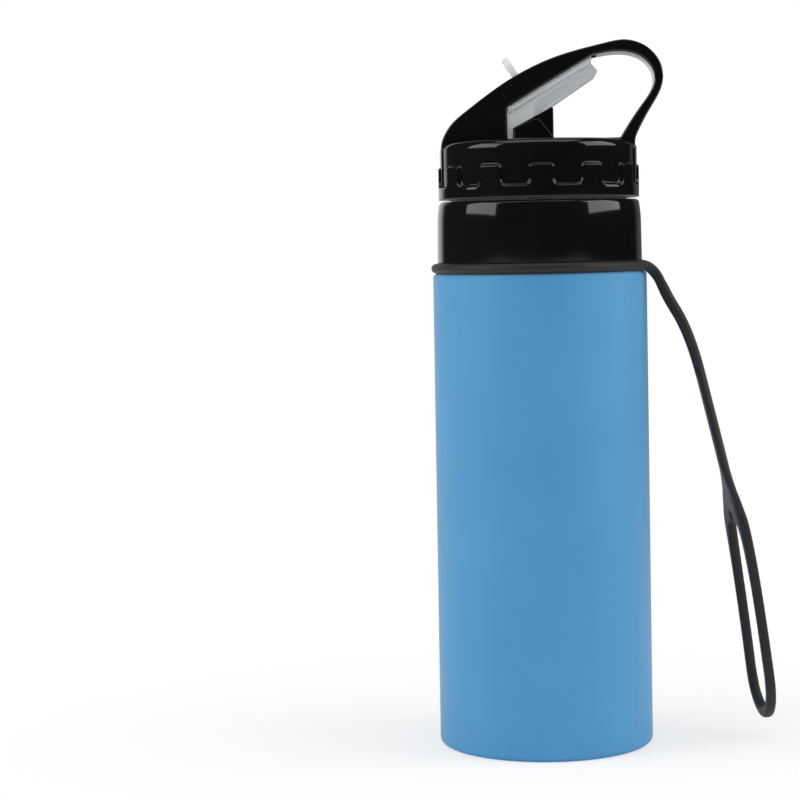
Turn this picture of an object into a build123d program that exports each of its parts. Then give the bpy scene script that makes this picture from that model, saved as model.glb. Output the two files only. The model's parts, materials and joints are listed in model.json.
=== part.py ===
from build123d import *
from math import asin, cos, degrees, hypot, radians, sin, sqrt, tan
import os

# A silicone water bottle that rolls up when it is empty. A black screw cap carries a handle,
# a clear spout that flips up out of a slot in the handle, and a drinking straw. A black strap
# hangs from a ring that turns in the groove under the collar.
#
# Millimetres, +Z up. The origin is the middle of the base. +X is the side that the shut spout
# points to, and the strap hangs on that side.

os.makedirs("parts", exist_ok=True)

# ---- Clearances ------------------------------------------------------------------------------
pin_clearance = 0.05        # a pin in its bore, on the radius
running_gap = 0.3           # parts that turn or slide past each other
swing_gap = 0.5             # parts that swing past each other
groove_gap = 0.2            # the strap's ring in its groove, above and below
collar_gap = 0.5            # the line between the collar and the cap

# ---- Silicone body ---------------------------------------------------------------------------
body_top_radius = 35.0
body_base_radius = 35.25
body_wall = 2.2
base_thickness = 3.0
base_rounding = 2.05
shoulder_height = 155.7
shoulder_thickness = 2.1
shoulder_rounding = 1.6
shoulder_ledge = 3.1        # from the body's side in to the neck
neck_wall = 2.0

# ---- Strap -----------------------------------------------------------------------------------
strap_cord = 3.2            # diameter of the ring's cord
strap_width = 22.0
strap_thickness = 3.3
strap_strand = 2.9          # width of each strand beside the end loop
strap_arm = 4.5             # width of each arm beside the upper window
strap_foot = 7.0            # height of the strap's lower end above the floor
strap_hinge_drop = 1.7      # the arms' round roots below the ring's middle
window_bottom = 128.0       # where the two arms part
loop_top = 71.0
loop_bottom = 12.5

# ---- Collar and neck insert ------------------------------------------------------------------
collar_height = 19.6
collar_taper = 0.7          # how much narrower the collar is at its top
collar_rounding = 1.4
collar_web = 3.7            # thickness of the collar's inward web
clamp_rib = 0.5             # rib that bites into the neck
clamp_rib_height = 1.5
clamp_rib_place = 7.0       # above the collar's lower edge
insert_wall = 2.0
insert_flange = 1.7         # how far the flange reaches out under the shoulder
insert_flange_height = 1.8
snap_ridge = 0.3
snap_height = 0.8
snap_place = 1.6            # above the web's lower face
spigot_step = 1.3           # the threaded spigot is this much smaller than the insert's tube
spigot_height = 16.9
spigot_wall = 2.2

# ---- Thread ----------------------------------------------------------------------------------
thread_pitch = 4.0
thread_turns = 1.25
thread_depth = 1.1
thread_root_width = 1.2
thread_crest_width = 0.6
thread_root_overlap = 0.4   # how far the ridge is buried in its wall
insert_thread_start = 6.1   # above the collar's top

# ---- Cap -------------------------------------------------------------------------------------
skirt_wall = 1.7
deck_thickness = 2.2
gasket_thickness = 1.6
gasket_width = 3.1
cap_rounding = 2.0
relief_step = 1.1           # how far the grip relief stands out of the skirt
relief_band_height = 4.6
relief_tooth_height = 6.5
relief_teeth = 12
tooth_angle = 14.5
tooth_rounding = 1.2

# ---- Handle ----------------------------------------------------------------------------------
handle_width = 16.0
handle_foot = 4.3           # thickness of the loop's foot on the deck
slot_end_gap = 1.9          # between the plate's point and the slot's end
slot_width = 11.8
handle_rise = 31.8          # from the deck to the top of the loop
strip_height = 0.4          # raised strip along the deck
rail_rise = 1.9             # the rails' upper edge above the plate's underside

# ---- Spout -----------------------------------------------------------------------------------
pivot_x = -1.0
pivot_rise = 2.3            # pivot axis above the deck
pin_radius = 1.7
hub_radius = 4.2
spout_angle = 30.0          # slope of the shut spout's plate
spout_swing = 55.0
plate_offset = 8.8          # from the pivot axis to the plate's underside
plate_thickness = 3.2
plate_width = 11.2
plate_back = 8.6            # how far the plate reaches behind the pivot
plate_front = 18.6
tube_width = 9.0
tube_side_gap = 0.4         # between the tube and each ear
tube_angle = 33.5
tube_offset = 3.0           # from the pivot axis to the tube's underside
tube_reach = 19.45
lip_reach = 20.7
lip_rise = 18.6
heel_drop = 1.5             # how far the spout's heel hangs below the pivot axis
heel_thickness = 1.3
tab_angle = 122.9
tab_root_x = -1.75
tab_root_rise = 11.1
tab_length = 14.5
tab_thickness = 2.2
tab_width = 8.0
spout_bore = 1.6

# ---- Ears, well and seal ---------------------------------------------------------------------
ear_wall = 1.7
ear_back = 7.0              # from the pivot axis back to the ear's rear edge
ear_front = 6.2
ear_front_rise = 7.4
ear_back_rise = 0.5
pad_wall = 1.4
pad_rise = 3.3
well_radius = 11.6
well_wall = 1.5
seal_radius = 2.6
seal_bore = 1.5
seal_seat_depth = 2.6
boss_wall = 0.9
boss_top_drop = 6.4         # boss top below the pivot axis
nipple_length = 10.8
vent_x = -18.0
vent_stem = 1.4
vent_disc = 3.6

# ---- Straw -----------------------------------------------------------------------------------
straw_wall = 1.0
straw_floor_gap = 9.0       # between the straw's end and the inside of the base

# ---- Heights and radii that follow -----------------------------------------------------------
neck_radius = body_top_radius - shoulder_ledge
neck_inner = neck_radius - neck_wall
groove_height = strap_cord + 2 * groove_gap
ring_height = shoulder_height + groove_height / 2
ring_radius = neck_radius + running_gap + strap_cord / 2
ring_outer = ring_radius + strap_cord / 2
collar_bottom = shoulder_height + groove_height
collar_top = collar_bottom + collar_height
collar_radius = neck_radius + 1.6
neck_top = collar_top - collar_web
insert_bore = neck_inner - insert_wall
flange_top = shoulder_height - shoulder_thickness
spigot_radius = neck_inner - spigot_step
spigot_bore = spigot_radius - spigot_wall
rim_height = collar_top + spigot_height
skirt_inner = spigot_radius + thread_depth + running_gap
skirt_radius = skirt_inner + skirt_wall
skirt_bottom = collar_top + collar_gap
deck_under = rim_height + gasket_thickness
deck = deck_under + deck_thickness
pivot_z = deck + pivot_rise
half_slot = slot_width / 2
ear_inner = tube_width / 2 + tube_side_gap
ear_outer = ear_inner + ear_wall
pad_outer = ear_outer + pad_wall
well_floor = pivot_z - well_radius
boss_top = pivot_z - boss_top_drop


def around_pivot(distance, angle):
    """Point at a distance and angle from the pivot, in the plane of the spout's swing."""
    return (pivot_x + distance * cos(radians(angle)), pivot_z + distance * sin(radians(angle)))


def on_slope(x, angle, offset):
    """Point at x on a line that slopes at angle and passes the pivot at offset above it."""
    return (x, pivot_z + offset / cos(radians(angle)) + (x - pivot_x) * tan(radians(angle)))


# ---- Silicone body: bag, shoulder and neck in one moulding -----------------------------------
with BuildPart() as silicone_body:
    with BuildSketch(Plane.XZ):
        with BuildLine():
            Polyline(
                (0, 0),
                (body_base_radius, 0),
                (body_top_radius, shoulder_height),
                (neck_radius, shoulder_height),
                (neck_radius, neck_top),
                (neck_inner, neck_top),
                (neck_inner, flange_top),
                (body_top_radius - body_wall, flange_top),
                (body_base_radius - body_wall, base_thickness),
                (0, base_thickness),
                close=True,
            )
        make_face()
    revolve(axis=Axis.Z)
    fillet(silicone_body.edges().group_by(Axis.Z)[0], base_rounding)
    shoulder_edges = silicone_body.edges().filter_by(GeomType.CIRCLE).filter_by_position(
        Axis.Z, shoulder_height - 0.01, shoulder_height + 0.01
    )
    fillet(shoulder_edges.sort_by(SortBy.RADIUS)[-1], shoulder_rounding)
    # the groove that the collar's rib bites into
    with BuildSketch(Plane.XY.offset(collar_bottom + clamp_rib_place)):
        Circle(neck_radius + 1)
        Circle(neck_radius - clamp_rib, mode=Mode.SUBTRACT)
    extrude(amount=clamp_rib_height, mode=Mode.SUBTRACT)

# ---- Thread of the neck insert: one ridge, its foot buried in the spigot ----------------------
with BuildPart() as insert_thread:
    with BuildLine() as insert_helix:
        Helix(
            pitch=thread_pitch,
            height=thread_pitch * thread_turns,
            radius=spigot_radius,
            center=(0, 0, collar_top + insert_thread_start),
        )
    with BuildSketch(Plane(insert_helix.line @ 0, x_dir=(1, 0, 0), z_dir=insert_helix.line % 0)):
        with BuildLine():
            Polyline(
                (-thread_root_overlap, -thread_root_width / 2),
                (thread_depth, -thread_crest_width / 2),
                (thread_depth, thread_crest_width / 2),
                (-thread_root_overlap, thread_root_width / 2),
                close=True,
            )
        make_face()
    sweep(path=insert_helix.line, is_frenet=True)

# ---- Neck insert: stiff tube inside the neck, with a threaded spigot above it -----------------
with BuildPart() as neck_insert:
    with BuildSketch(Plane.XZ):
        with BuildLine():
            Polyline(
                (insert_bore, flange_top - insert_flange_height),
                (neck_inner + insert_flange, flange_top - insert_flange_height),
                (neck_inner + insert_flange, flange_top),
                (neck_inner, flange_top),
                (neck_inner, collar_top),
                (spigot_radius, collar_top),
                (spigot_radius, rim_height),
                (spigot_bore, rim_height),
                (spigot_bore, collar_top - 2 * spigot_step),
                (insert_bore, collar_top - 4 * spigot_step),
                close=True,
            )
        make_face()
    revolve(axis=Axis.Z)
    # snap ridge that holds the collar down
    with BuildSketch(Plane.XY.offset(neck_top + snap_place)):
        Circle(neck_inner + snap_ridge)
        Circle(neck_inner - insert_wall / 2, mode=Mode.SUBTRACT)
    extrude(amount=snap_height)
    add(insert_thread.part)

# ---- Collar: gloss ring that clamps the neck on the insert -----------------------------------
with BuildPart() as neck_collar:
    with BuildSketch(Plane.XZ):
        with BuildLine():
            Polyline(
                (neck_radius, collar_bottom),
                (collar_radius, collar_bottom),
                (collar_radius - collar_taper, collar_top),
                (neck_inner, collar_top),
                (neck_inner, neck_top),
                (neck_radius, neck_top),
                close=True,
            )
        make_face()
    revolve(axis=Axis.Z)
    collar_rims = neck_collar.edges().filter_by(GeomType.CIRCLE)
    top_rims = collar_rims.filter_by_position(Axis.Z, collar_top - 0.01, collar_top + 0.01)
    fillet(top_rims.sort_by(SortBy.RADIUS)[-1], collar_rounding)
    # groove for the insert's snap ridge
    with BuildSketch(Plane.XY.offset(neck_top + snap_place)):
        Circle(neck_inner + snap_ridge)
    extrude(amount=snap_height, mode=Mode.SUBTRACT)
    with BuildSketch(Plane.XY.offset(collar_bottom + clamp_rib_place)):
        Circle(neck_radius + clamp_rib)
        Circle(neck_radius - clamp_rib, mode=Mode.SUBTRACT)
    extrude(amount=clamp_rib_height)

# ---- Gasket: flat ring between the rim and the cap's deck ------------------------------------
with BuildPart() as cap_gasket:
    with BuildSketch(Plane.XY.offset(rim_height)):
        Circle(skirt_inner - running_gap)
        Circle(skirt_inner - running_gap - gasket_width, mode=Mode.SUBTRACT)
    extrude(amount=gasket_thickness)

# ---- Thread of the cap: the same ridge, turned inwards, half a pitch lower --------------------
thread_low = collar_top + insert_thread_start - thread_pitch / 2
with BuildPart() as cap_thread:
    with BuildLine() as cap_helix:
        Helix(
            pitch=thread_pitch,
            height=thread_pitch * thread_turns,
            radius=skirt_inner,
            center=(0, 0, thread_low),
        )
    with BuildSketch(Plane(cap_helix.line @ 0, x_dir=(1, 0, 0), z_dir=cap_helix.line % 0)):
        with BuildLine():
            Polyline(
                (thread_root_overlap, -thread_root_width / 2),
                (-thread_depth, -thread_crest_width / 2),
                (-thread_depth, thread_crest_width / 2),
                (thread_root_overlap, thread_root_width / 2),
                close=True,
            )
        make_face()
    sweep(path=cap_helix.line, is_frenet=True)

# ---- Cap shell: skirt, deck, spout well, ears and straw nipple -------------------------------
relief_radius = skirt_radius + relief_step
band_height = skirt_bottom + relief_band_height
teeth_top = band_height + relief_tooth_height
half_tooth = tooth_angle / 2
with BuildPart() as cap_shell:
    with BuildSketch(Plane.XY.offset(skirt_bottom)):
        Circle(skirt_radius)
    extrude(amount=deck - skirt_bottom)
    fillet(cap_shell.edges().group_by(Axis.Z)[-1], cap_rounding)
    with BuildSketch(Plane.XY.offset(skirt_bottom)):
        Circle(skirt_inner)
    extrude(amount=deck_under - skirt_bottom, mode=Mode.SUBTRACT)
    add(cap_thread.part)
    # housing of the spout's well, hanging under the deck
    housing_wall = half_slot + well_wall
    housing_top = deck_under + deck_thickness / 2
    with BuildSketch(Plane.XZ):
        with Locations((pivot_x, pivot_z)):
            Circle(well_radius + well_wall)
        with Locations((pivot_x + ear_front, housing_top)):
            Rectangle(
                4 * well_radius,
                4 * well_radius,
                align=(Align.MAX, Align.MAX),
                mode=Mode.INTERSECT,
            )
    extrude(amount=housing_wall, both=True)
    # ears that carry the pivot, and their outer pads
    with BuildSketch(Plane.XZ):
        with BuildLine():
            Polyline(
                (pivot_x - ear_back, housing_top),
                (pivot_x - ear_back, pivot_z + ear_back_rise),
                (pivot_x + ear_front, pivot_z + ear_front_rise),
                (pivot_x + ear_front, housing_top),
                close=True,
            )
        make_face()
    extrude(amount=ear_outer, both=True)
    with BuildSketch(Plane.XZ):
        with BuildLine():
            Polyline(
                (pivot_x - ear_back + 0.4, housing_top),
                (pivot_x - ear_back + 0.4, pivot_z + ear_back_rise - 0.2),
                (pivot_x - 0.5, pivot_z + pad_rise),
                (pivot_x + 1.7, pivot_z + pad_rise),
                (pivot_x + ear_front - 0.2, deck + 1.0),
                (pivot_x + ear_front + 1.6, deck),
                (pivot_x + ear_front + 1.6, housing_top),
                close=True,
            )
        make_face()
    extrude(amount=pad_outer, both=True)
    # raised strip from the spout's well to the front foot of the handle
    strip_length = skirt_radius - handle_foot - (pivot_x + ear_front - well_wall)
    with BuildSketch(Plane.XY.offset(housing_top)):
        with Locations((pivot_x + ear_front - well_wall, 0)):
            Rectangle(
                strip_length,
                handle_width - 2 * strip_height,
                align=(Align.MIN, Align.CENTER),
            )
    extrude(amount=deck + strip_height - housing_top)
    # the space between the ears, closed in front by an end wall under the tube
    end_wall = ear_front - well_wall
    with BuildSketch(Plane.XZ):
        with BuildLine():
            Polyline(
                (pivot_x - ear_back - 1, pivot_z),
                (pivot_x - ear_back - 1, pivot_z + 4 * ear_front_rise),
                (pivot_x + end_wall, pivot_z + 4 * ear_front_rise),
                (pivot_x + end_wall, pivot_z),
                close=True,
            )
        make_face()
    extrude(amount=ear_inner, both=True, mode=Mode.SUBTRACT)
    with BuildSketch(Plane.XZ):
        with BuildLine():
            wall_low = on_slope(pivot_x + end_wall, tube_angle, tube_offset - swing_gap)
            wall_high = on_slope(pivot_x + ear_front + 1, tube_angle, tube_offset - swing_gap)
            Polyline(
                wall_low,
                wall_high,
                (wall_high[0], wall_high[1] + ear_front_rise),
                (wall_low[0], wall_high[1] + ear_front_rise),
                close=True,
            )
        make_face()
    extrude(amount=ear_inner, both=True, mode=Mode.SUBTRACT)
    # the well itself, wide behind the ears for the plate's tail
    for reach, half_width in ((end_wall, ear_inner), (-ear_back - 0.2, half_slot)):
        with BuildSketch(Plane.XZ):
            with Locations((pivot_x, pivot_z)):
                Circle(well_radius)
            with Locations((pivot_x + reach, pivot_z + well_radius)):
                Rectangle(
                    4 * well_radius,
                    4 * well_radius,
                    align=(Align.MAX, Align.MAX),
                    mode=Mode.INTERSECT,
                )
        extrude(amount=half_width, both=True, mode=Mode.SUBTRACT)
    # pivot bores, blind behind the pads
    with BuildSketch(Plane.XZ):
        with Locations((pivot_x, pivot_z)):
            Circle(pin_radius + pin_clearance)
    extrude(amount=ear_outer, both=True, mode=Mode.SUBTRACT)
    # seal boss, straw nipple and the way through them
    with BuildSketch(Plane.XY.offset(well_floor - well_wall / 2)):
        Circle(seal_radius + boss_wall)
    extrude(amount=boss_top - well_floor + well_wall / 2)
    with BuildSketch(Plane.XY.offset(well_floor - well_wall - nipple_length)):
        Circle(seal_radius)
    extrude(amount=nipple_length + well_wall / 2)
    with BuildSketch(Plane.XY.offset(well_floor - well_wall - nipple_length)):
        Circle(seal_bore)
    extrude(amount=nipple_length + well_wall + well_radius / 2, mode=Mode.SUBTRACT)
    with BuildSketch(Plane.XY.offset(boss_top - seal_seat_depth)):
        Circle(seal_radius)
    extrude(amount=seal_seat_depth, mode=Mode.SUBTRACT)
    # vent hole behind the spout
    with BuildSketch(Plane.XY.offset(deck_under)):
        with Locations((vent_x, 0)):
            Circle(vent_stem)
    extrude(amount=deck_thickness, mode=Mode.SUBTRACT)
    # grip relief: a band round the foot of the skirt, with teeth that rise from it
    with BuildSketch(Plane.XY.offset(skirt_bottom)):
        Circle(relief_radius)
        Circle(skirt_radius - skirt_wall / 2, mode=Mode.SUBTRACT)
    extrude(amount=relief_band_height)
    with BuildSketch(Plane.XY.offset(band_height)):
        with BuildSketch(mode=Mode.PRIVATE) as tooth_face:
            with BuildLine():
                foot_radius = skirt_radius - skirt_wall / 2
                foot_arc = CenterArc((0, 0), foot_radius, -90 - half_tooth, tooth_angle)
                crest_arc = CenterArc((0, 0), relief_radius, -90 - half_tooth, tooth_angle)
                Line(foot_arc @ 0, crest_arc @ 0)
                Line(foot_arc @ 1, crest_arc @ 1)
            make_face()
        with PolarLocations(0, relief_teeth):
            add(tooth_face.sketch)
    extrude(amount=relief_tooth_height)
    tooth_corners = cap_shell.edges().filter_by(GeomType.LINE).filter_by_position(
        Axis.Z, teeth_top - 0.01, teeth_top + 0.01
    )
    fillet(tooth_corners, tooth_rounding)

# ---- Carry handle: slotted arch from the tower at the back to the loop in front --------------
tower_front = pivot_x - plate_back - 0.2
rail_offset = plate_offset + rail_rise
slot_back = pivot_x - hypot(
    tab_root_x + tab_length * cos(radians(tab_angle)),
    tab_root_rise + tab_length * sin(radians(tab_angle)),
) - running_gap
slot_front = pivot_x + plate_front + slot_end_gap
with BuildPart() as carry_handle:
    with BuildSketch(Plane.XZ):
        with BuildLine():
            outer_line = Spline(
                (-skirt_radius + 0.5, deck),
                (-skirt_radius + 2.9, deck + 4.3),
                (-skirt_radius + 8.6, deck + 9.1),
                (pivot_x - 9.6, deck + 17.7),
                (pivot_x + 7.6, deck + 26.3),
                (skirt_radius - 9.7, deck + handle_rise - 0.9),
                (skirt_radius - 3.2, deck + handle_rise),
                (skirt_radius + 3.3, deck + handle_rise - 2.1),
                (skirt_radius + 8.3, deck + handle_rise - 8.0),
                (skirt_radius + 8.7, deck + 16.2),
                (skirt_radius + 4.6, deck + 8.2),
                (skirt_radius + 0.3, deck),
            )
            inner_line = Spline(
                (skirt_radius - handle_foot, deck),
                (skirt_radius + 1.8, deck + 9.3),
                (skirt_radius + 6.2, deck + 18.0),
                (skirt_radius + 3.6, deck + handle_rise - 6.9),
                (skirt_radius - 3.6, deck + handle_rise - 3.9),
                on_slope(slot_front - 1.4, spout_angle, rail_offset),
            )
            Polyline(
                inner_line @ 1,
                on_slope(tower_front, spout_angle, rail_offset),
                (tower_front, deck),
                outer_line @ 0,
            )
            Line(outer_line @ 1, inner_line @ 0)
        make_face()
    extrude(amount=handle_width / 2, both=True)
    with BuildSketch(Plane.XZ):
        with Locations(((slot_back + slot_front) / 2, deck)):
            Rectangle(slot_front - slot_back, 3 * handle_rise)
    extrude(amount=half_slot, both=True, mode=Mode.SUBTRACT)

# ---- Spout: clear lever with a plate, a tube, a thumb tab and two pivot pins -----------------
shut_entry = 270 - spout_swing
seal_shift = -pivot_x
with BuildPart() as spout:
    with BuildSketch(Plane.XZ):
        with BuildLine():
            heel_back = pivot_x - plate_back
            heel_front = heel_back + heel_thickness
            plate_low = on_slope(pivot_x + plate_front - 0.2, spout_angle, plate_offset)
            hub_left = (pivot_x - hub_radius, pivot_z)
            hub_right = (pivot_x + hub_radius, pivot_z)
            Polyline(
                hub_left,
                (pivot_x - hub_radius, pivot_z + 0.65 * hub_radius),
                (heel_front, pivot_z + 0.65 * hub_radius),
                (heel_front, pivot_z - heel_drop),
                (heel_back, pivot_z - heel_drop),
                on_slope(heel_back, spout_angle, plate_offset),
                plate_low,
                (pivot_x + lip_reach, pivot_z + lip_rise),
                on_slope(pivot_x + tube_reach, tube_angle, tube_offset),
                on_slope(pivot_x + hub_radius, tube_angle, tube_offset),
                hub_right,
            )
            ThreePointArc(hub_right, (pivot_x, pivot_z - hub_radius), hub_left)
        make_face()
    extrude(amount=tube_width / 2, both=True)
    with BuildSketch(Plane.XZ):
        with BuildLine():
            top_offset = plate_offset + plate_thickness
            Polyline(
                on_slope(heel_back, spout_angle, plate_offset),
                (heel_back, pivot_z + well_radius - 4.5),
                on_slope(heel_back + 2.0, spout_angle, top_offset),
                on_slope(pivot_x + plate_front, spout_angle, top_offset),
                on_slope(pivot_x + plate_front, spout_angle, plate_offset),
                close=True,
            )
        make_face()
    extrude(amount=plate_width / 2, both=True)
    # thumb tab with a round end
    tab_x = Vector(cos(radians(tab_angle)), 0, sin(radians(tab_angle)))
    tab_root = Vector(pivot_x + tab_root_x, 0, pivot_z + tab_root_rise)
    tab_plane = Plane(origin=tab_root, x_dir=tab_x, z_dir=tab_x.cross(Vector(0, 1, 0)))
    with BuildSketch(tab_plane):
        with Locations(((tab_length - tab_width / 2) / 2, 0)):
            Rectangle(tab_length - tab_width / 2, tab_width)
        with Locations((tab_length - tab_width / 2, 0)):
            Circle(tab_width / 2)
    extrude(amount=tab_thickness / 2, both=True)
    # pivot pins
    with BuildSketch(Plane.XZ):
        with Locations((pivot_x, pivot_z)):
            Circle(pin_radius)
    extrude(amount=ear_outer - running_gap, both=True)
    # the water's way: in at the hub, up through the root and out at the lip
    tube_middle = (plate_offset + tube_offset) / 2
    bend_low = around_pivot(seal_shift, -spout_swing)
    entry_reach = hypot(hub_radius + 1, seal_shift)
    entry = around_pivot(entry_reach, shut_entry + degrees(asin(seal_shift / entry_reach)))
    bend_high = on_slope(pivot_x + 1.5, spout_angle, tube_middle)
    mouth = on_slope(pivot_x + lip_reach + 2, spout_angle + 1.6, tube_middle)
    for start, end in ((entry, bend_low), (bend_low, bend_high), (bend_high, mouth)):
        run = Vector(end[0] - start[0], 0, end[1] - start[1])
        with BuildSketch(Plane(origin=(start[0], 0, start[1]), z_dir=run)):
            Circle(spout_bore)
        extrude(amount=run.length, mode=Mode.SUBTRACT)
    for corner in (bend_low, bend_high):
        with Locations((corner[0], 0, corner[1])):
            Sphere(spout_bore, mode=Mode.SUBTRACT)

# ---- Spout seal: soft ring that the hub wipes over -------------------------------------------
with BuildPart() as spout_seal:
    with BuildSketch(Plane.XY.offset(boss_top - seal_seat_depth)):
        Circle(seal_radius)
        Circle(seal_bore, mode=Mode.SUBTRACT)
    extrude(amount=seal_seat_depth + boss_top_drop)
    with BuildSketch(Plane.XZ):
        with Locations((pivot_x, pivot_z)):
            Circle(hub_radius + pin_clearance)
        with Locations((pivot_x, pivot_z - hub_radius / 2)):
            Rectangle(4 * hub_radius, 4 * hub_radius, align=(Align.CENTER, Align.MIN))
    extrude(amount=2 * seal_radius, both=True, mode=Mode.SUBTRACT)

# ---- Vent valve: lets air in as water is drunk ------------------------------------------------
with BuildPart() as vent_valve:
    with BuildSketch(Plane.XY.offset(deck_under - 0.8)):
        with Locations((vent_x, 0)):
            Circle(vent_disc)
    extrude(amount=0.8)
    with BuildSketch(Plane.XY.offset(deck_under)):
        with Locations((vent_x, 0)):
            Circle(vent_stem)
    extrude(amount=deck_thickness)
    with BuildSketch(Plane.XY.offset(deck)):
        with Locations((vent_x, 0)):
            Circle(vent_stem + 0.8)
    extrude(amount=1.2, taper=25)

# ---- Straw: soft tube pushed over the nipple -------------------------------------------------
straw_top = well_floor - well_wall
with BuildPart() as straw:
    with BuildSketch(Plane.XY.offset(base_thickness + straw_floor_gap)):
        Circle(seal_radius + straw_wall)
        Circle(seal_radius, mode=Mode.SUBTRACT)
    extrude(amount=straw_top - base_thickness - straw_floor_gap)

# ---- Strap ring: cord that turns in the groove under the collar ------------------------------
with BuildPart() as strap_ring:
    with Locations((0, 0, ring_height)):
        Torus(ring_radius, strap_cord / 2)

# ---- Strap band: two arms with round roots, a broad middle and a long end loop ---------------
arm_gap = strap_width - 2 * strap_arm
hinge_reach = sqrt((body_top_radius + swing_gap) ** 2 - (arm_gap / 2) ** 2)
hinge = (hinge_reach + strap_thickness / 2, ring_height - strap_hinge_drop)
side = body_top_radius
strap_line = (
    hinge,
    (side + 6.0, ring_height - 9.2),
    (side + 10.1, shoulder_height - 14.7),
    (side + 18.6, shoulder_height - 41.0),
    (side + 27.7, 75.2),
    (side + 33.4, 35.8),
    (side + 37.3, strap_foot - 4),
)
band_top = hinge[1] + strap_thickness / 2
with BuildPart() as strap_band:
    with BuildLine(Plane.XZ) as band_path:
        Spline(*strap_line)
    band_start = Plane(band_path.line @ 0, x_dir=(0, 1, 0), z_dir=band_path.line % 0)
    with BuildSketch(band_start):
        Rectangle(strap_width, strap_thickness)
    sweep(path=band_path.line)
    with BuildSketch(Plane.XZ):
        with Locations(hinge):
            Circle(strap_thickness / 2)
    extrude(amount=strap_width / 2, both=True)
    with BuildSketch(Plane.YZ):
        with Locations((0, (band_top + strap_foot) / 2)):
            RectangleRounded(strap_width, band_top - strap_foot, strap_width / 2 - 1.5)
        with Locations((0, band_top)):
            Rectangle(strap_width, strap_width, align=(Align.CENTER, Align.MAX))
        # the end loop's hole
        with Locations((0, (loop_top + loop_bottom) / 2)):
            SlotOverall(
                loop_top - loop_bottom,
                strap_width - 2 * strap_strand,
                rotation=90,
                mode=Mode.SUBTRACT,
            )
        # the gap between the two arms, open at the ring
        with Locations((0, window_bottom + arm_gap / 2)):
            Circle(arm_gap / 2, mode=Mode.SUBTRACT)
        with Locations((0, window_bottom + arm_gap / 2)):
            Rectangle(
                arm_gap,
                band_top - window_bottom,
                align=(Align.CENTER, Align.MIN),
                mode=Mode.SUBTRACT,
            )
    extrude(amount=3 * side, mode=Mode.INTERSECT)

pieces = {
    "silicone_body": silicone_body,
    "neck_insert": neck_insert,
    "neck_collar": neck_collar,
    "cap_gasket": cap_gasket,
    "cap_shell": cap_shell,
    "carry_handle": carry_handle,
    "spout": spout,
    "spout_seal": spout_seal,
    "vent_valve": vent_valve,
    "straw": straw,
    "strap_ring": strap_ring,
    "strap_band": strap_band,
}
for name, piece in pieces.items():
    piece.part.label = name
    export_step(piece.part, f"parts/{name}.step")
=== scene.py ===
"""Look of the roll-up silicone bottle: skins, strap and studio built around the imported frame.

Shapes are worked out in millimetres and written to the meshes in metres. Places come from the
frame's own boxes and joints, so every skin lies where its solid lies.
"""
import sys
import json
import logging
from dataclasses import dataclass, field
from enum import Enum
from math import cos, pi, radians, sin, tan

import bmesh
import bpy
import numpy as np
from mathutils import Matrix, Vector


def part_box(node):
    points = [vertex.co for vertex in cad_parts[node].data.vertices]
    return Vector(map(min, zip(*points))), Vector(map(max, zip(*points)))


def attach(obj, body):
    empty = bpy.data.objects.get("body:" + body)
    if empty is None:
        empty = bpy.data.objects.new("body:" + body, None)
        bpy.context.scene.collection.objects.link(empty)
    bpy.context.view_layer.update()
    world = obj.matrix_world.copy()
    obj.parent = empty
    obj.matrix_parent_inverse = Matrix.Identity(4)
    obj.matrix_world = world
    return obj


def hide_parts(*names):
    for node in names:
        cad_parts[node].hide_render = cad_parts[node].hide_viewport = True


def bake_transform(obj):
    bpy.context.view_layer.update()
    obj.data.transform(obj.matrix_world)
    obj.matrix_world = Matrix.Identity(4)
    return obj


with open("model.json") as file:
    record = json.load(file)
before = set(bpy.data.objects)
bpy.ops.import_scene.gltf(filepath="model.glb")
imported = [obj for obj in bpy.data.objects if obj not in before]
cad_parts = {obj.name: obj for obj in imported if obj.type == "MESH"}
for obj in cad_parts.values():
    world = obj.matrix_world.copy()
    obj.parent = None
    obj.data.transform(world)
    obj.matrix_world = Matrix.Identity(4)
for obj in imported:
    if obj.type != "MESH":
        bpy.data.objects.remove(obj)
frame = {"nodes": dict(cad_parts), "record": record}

LOG = logging.getLogger("bottle")
MM = 0.001
Colour = tuple[float, float, float]
Place = tuple[float, float, float]
Point = tuple[float, float]
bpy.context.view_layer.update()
# In metres: points nearer than this are merged in a new mesh, faces thinner than this are removed
# from it, and points nearer than this are merged before its edges are rounded.
MERGE, SLIVER, WELD = 1e-6, 1e-7, 2e-6
# In millimetres: how far a plate's flat sides are drawn in, the rim of a plate that only cuts, and
# the radius below which a point lies on the axis.
CAP_INSET, CUT_EDGE, POLE = 0.12, 0.02, 0.01


# ---- Frame ---------------------------------------------------------------------------------
def box(node: str) -> tuple[np.ndarray, np.ndarray]:
    """Lowest and highest corner of a node of the frame, in millimetres."""
    low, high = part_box(node)
    return np.array(low) / MM, np.array(high) / MM


def joint_place(name: str) -> np.ndarray:
    """Place of a joint's axis in millimetres."""
    found = next(joint for joint in frame["record"]["behaviour"]["joints"] if joint["name"] == name)
    return np.array(found["pos_m"]) / MM


# ---- Surfaces ------------------------------------------------------------------------------
class Operation(Enum):
    """How one closed surface changes another."""

    JOIN = "UNION"
    CUT = "DIFFERENCE"


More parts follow.
